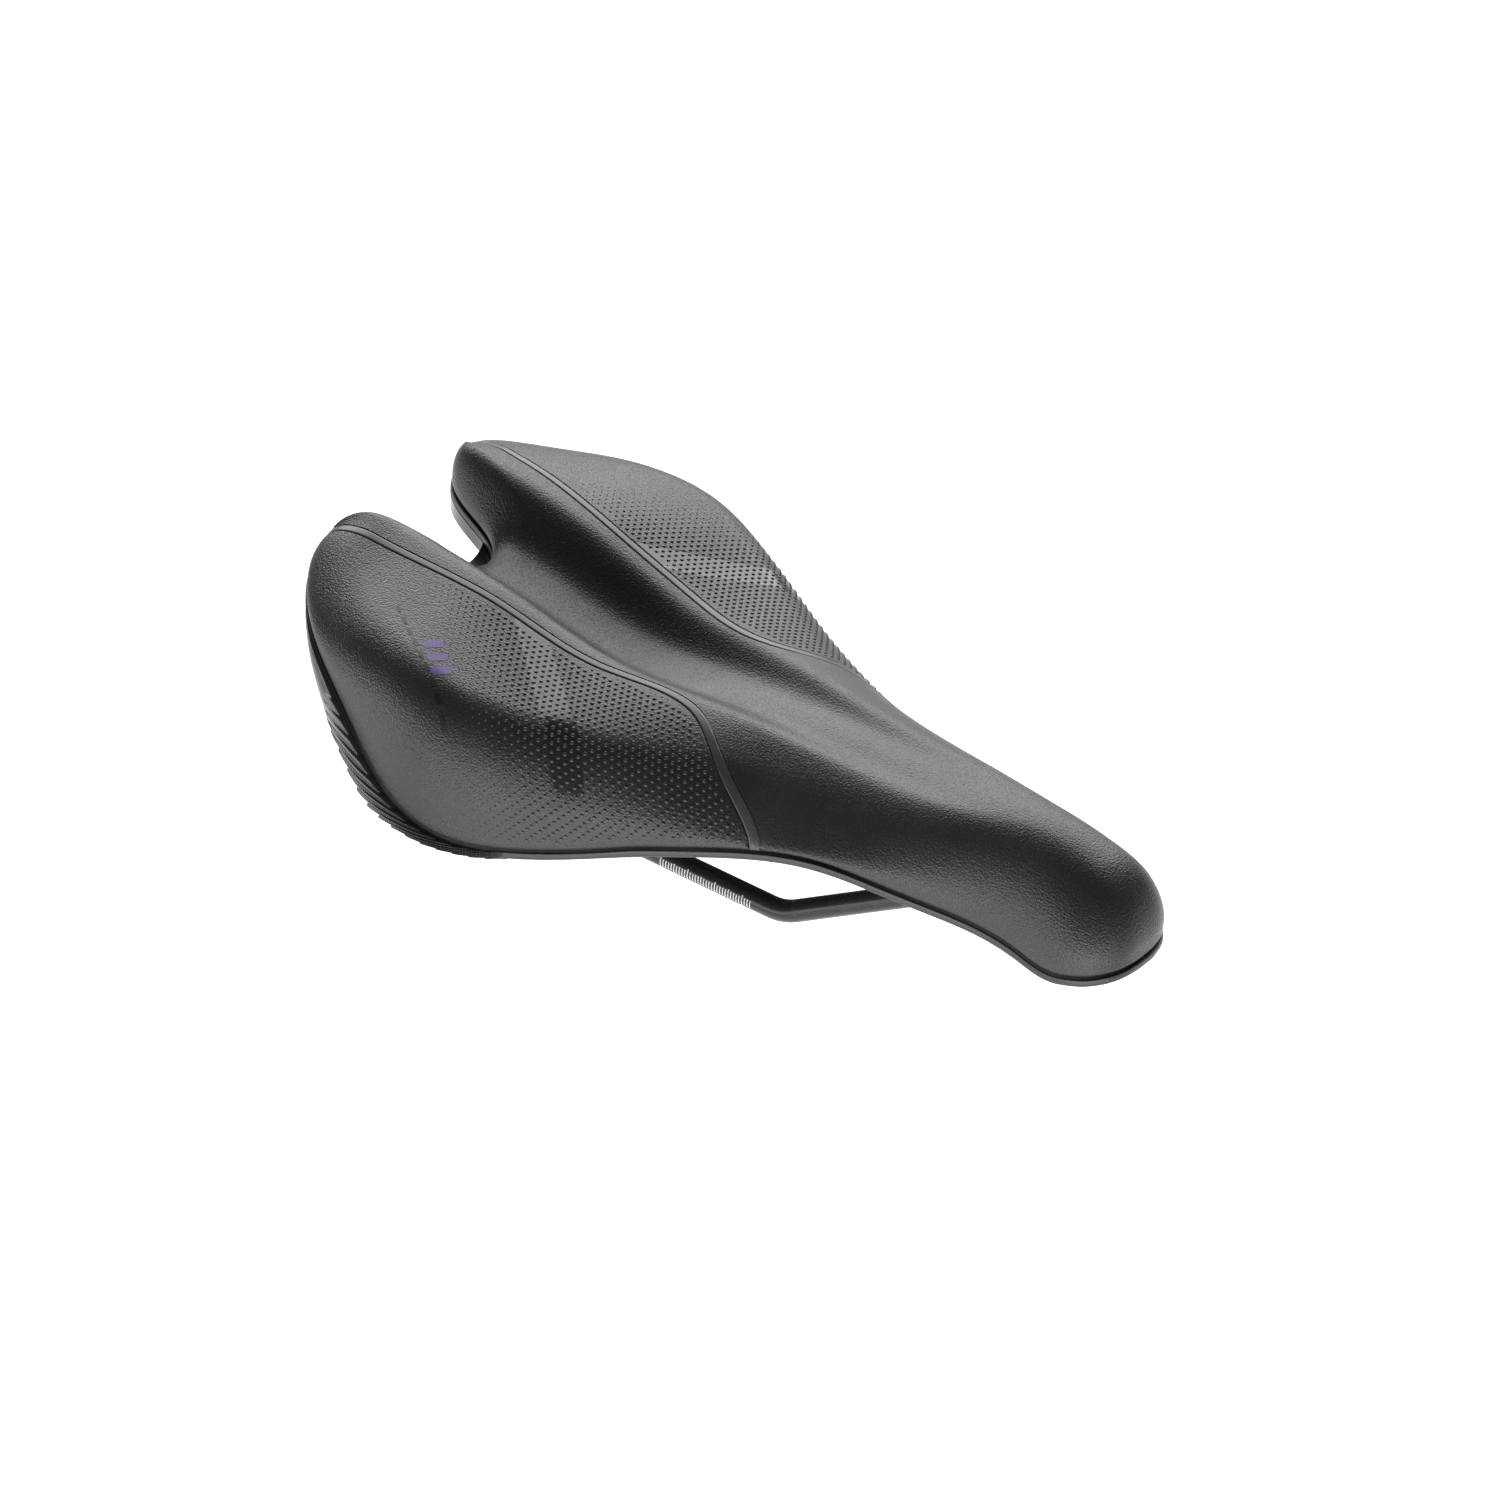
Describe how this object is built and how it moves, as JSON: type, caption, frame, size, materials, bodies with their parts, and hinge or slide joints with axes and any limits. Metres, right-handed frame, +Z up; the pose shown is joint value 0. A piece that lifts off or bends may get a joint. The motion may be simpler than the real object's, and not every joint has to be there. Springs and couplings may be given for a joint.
{
  "type": "bicycle saddle",
  "caption": "Bicycle saddle with a notched rear, a central relief channel, a pieced padded cover and parallel steel rails for a seatpost clamp.",
  "frame": {"origin": "centre of the seatpost clamp, midway between the rails at the height of their centre lines", "axes": "+X towards the nose, +Y to the rider's left, +Z up"},
  "size_m": [0.2773, 0.1642, 0.0803],
  "materials": {
    "cover_leather": "satin pebbled synthetic leather, near black",
    "side_leather": "satin synthetic leather with raised pips and a glossier stripe",
    "band_leather": "smooth satin welded band, slightly lighter than the cover",
    "foam": "closed skin foam",
    "gel": "soft gel",
    "shell_plastic": "satin moulded plastic with a fine spark texture",
    "gloss_black": "gloss black moulding",
    "bumper_plastic": "gloss black ribbed guard",
    "rail_steel": "satin black coated steel bar",
    "bush_rubber": "matt rubber",
    "collar_plastic": "satin moulded plastic",
    "screw_steel": "blackened steel"
  },
  "bodies": {
    "root": {"base_shell": "shell_plastic", "bumper_screws": "screw_steel", "centre_cover": "cover_leather", "collar_screws": "screw_steel", "corner_bumper_left": "bumper_plastic", "corner_bumper_right": "bumper_plastic", "foam_pad": "foam", "gel_insert_left": "gel", "gel_insert_right": "gel", "nose_clip": "collar_plastic", "nose_clip_screws": "screw_steel", "rail_bush_left": "bush_rubber", "rail_bush_right": "bush_rubber", "rail_collar_left": "collar_plastic", "rail_collar_right": "collar_plastic", "rail_left": "rail_steel", "rail_right": "rail_steel", "rear_yoke": "gloss_black", "seam_band_left": "band_leather", "seam_band_right": "band_leather", "side_panel_left": "side_leather", "side_panel_right": "side_leather"}
  },
  "joints": []
}
